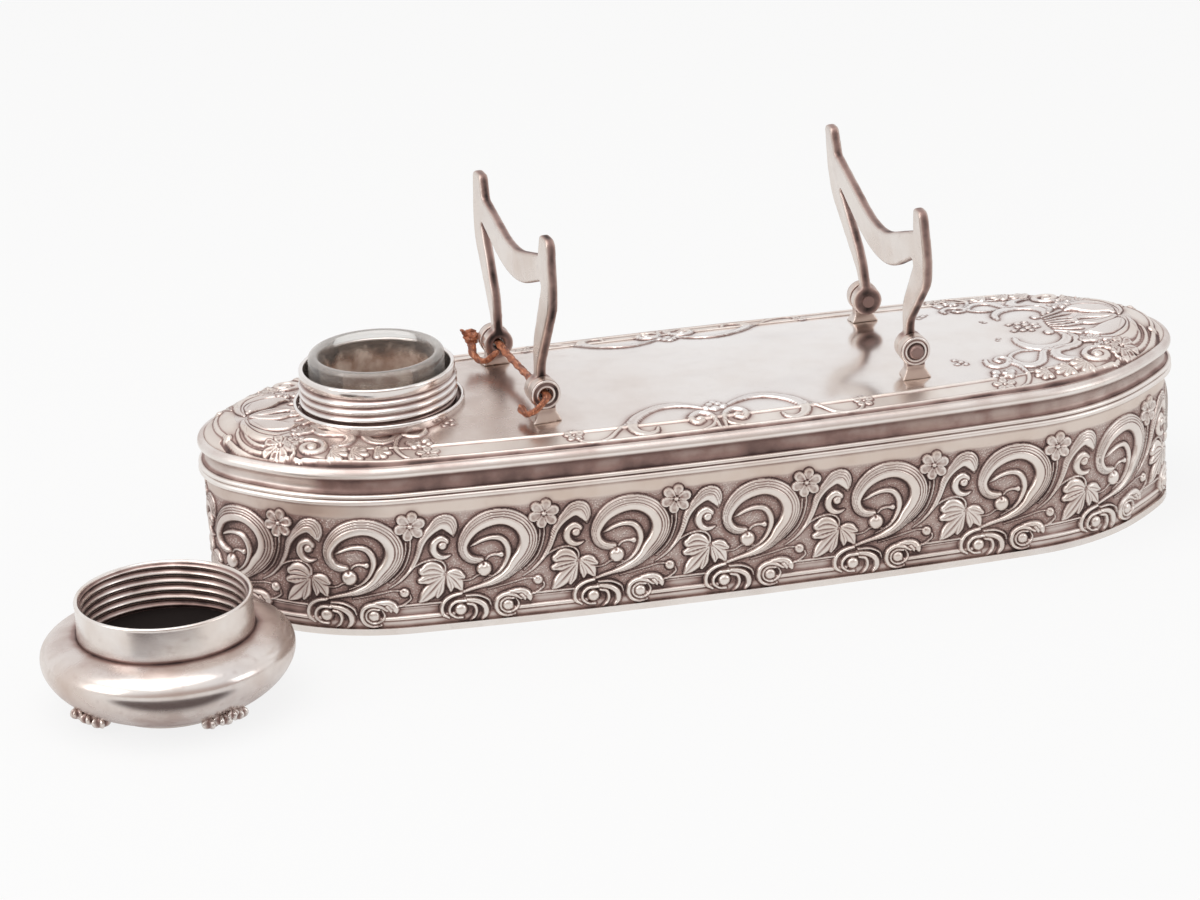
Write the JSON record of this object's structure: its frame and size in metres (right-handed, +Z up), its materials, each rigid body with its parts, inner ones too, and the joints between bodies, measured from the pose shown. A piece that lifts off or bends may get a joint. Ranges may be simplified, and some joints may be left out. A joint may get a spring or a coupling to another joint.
{
  "type": "travel inkwell",
  "caption": "Long oval silver travel inkwell with a glass well under a threaded neck, two folding pen rests on the lid and a loose domed screw cap.",
  "frame": {"origin": "centre of the flat underside of the box, on the surface it stands on", "axes": "+X along the box from the ink well to the plain end, +Y towards the back, +Z up"},
  "size_m": [0.2849, 0.1221, 0.0913],
  "materials": {
    "silver_polished": "hand-polished silver with faint scratches and warm toning",
    "silver_chased": "raised scroll and flower relief, bright ridges over dark tarnish",
    "silver_worn": "matt silver with brown toning in the corners",
    "silver_tarnished": "brown-black tarnish on unpolished inner faces",
    "well_glass": "thick clear glass with a dry brown ink film",
    "dark_leather": "pressed dark leather",
    "thong_leather": "worn orange-brown thong"
  },
  "bodies": {
    "box": {"base_plate": "silver_worn", "side_band": "silver_chased", "bead_strip": "silver_polished", "cover_moulding": "silver_polished", "border": "silver_chased", "top_plate": "silver_polished", "outer_bead": "silver_polished", "inner_bead": "silver_polished", "neck_flange": "silver_worn", "threaded_neck": "silver_polished", "well_cup": "silver_tarnished", "liner_cushion": "dark_leather", "left_front_lug": "silver_worn", "left_rear_lug": "silver_worn", "right_front_lug": "silver_worn", "right_rear_lug": "silver_worn", "left_tie": "thong_leather", "left_tie_loop": "thong_leather", "left_tie_knot": "thong_leather"},
    "left_rest": {"left_pen_rest": "silver_worn"},
    "right_rest": {"right_pen_rest": "silver_worn", "right_front_pin": "silver_worn", "right_rear_pin": "silver_worn"},
    "glass": {"glass_liner": "well_glass"},
    "cap": {"cap_shell": "silver_polished", "cap_collar": "silver_polished", "cap_seal": "dark_leather", "cap_crown": "silver_worn", "cap_ornaments": "silver_chased"}
  },
  "joints": [
    {"name": "left_rest_fold", "type": "hinge", "parent": "box", "child": "left_rest", "pos_m": [-0.0419, 0, 0.0509], "axis": [-0.1045, 0.9945, 0], "range_deg": [-1.1, 95]},
    {"name": "right_rest_fold", "type": "hinge", "parent": "box", "child": "right_rest", "pos_m": [0.0493, 0, 0.0509], "axis": [0.0401, -0.9992, 0], "range_deg": [-3.3, 93]},
    {"name": "glass_lift", "type": "slide", "parent": "box", "child": "glass", "axis": [0, 0, 1], "range_m": [0, 0.058]},
    {"name": "cap_lift", "type": "slide", "parent": "box", "child": "cap", "axis": [0, 0, 1], "range_m": [0, 0.06]}
  ]
}
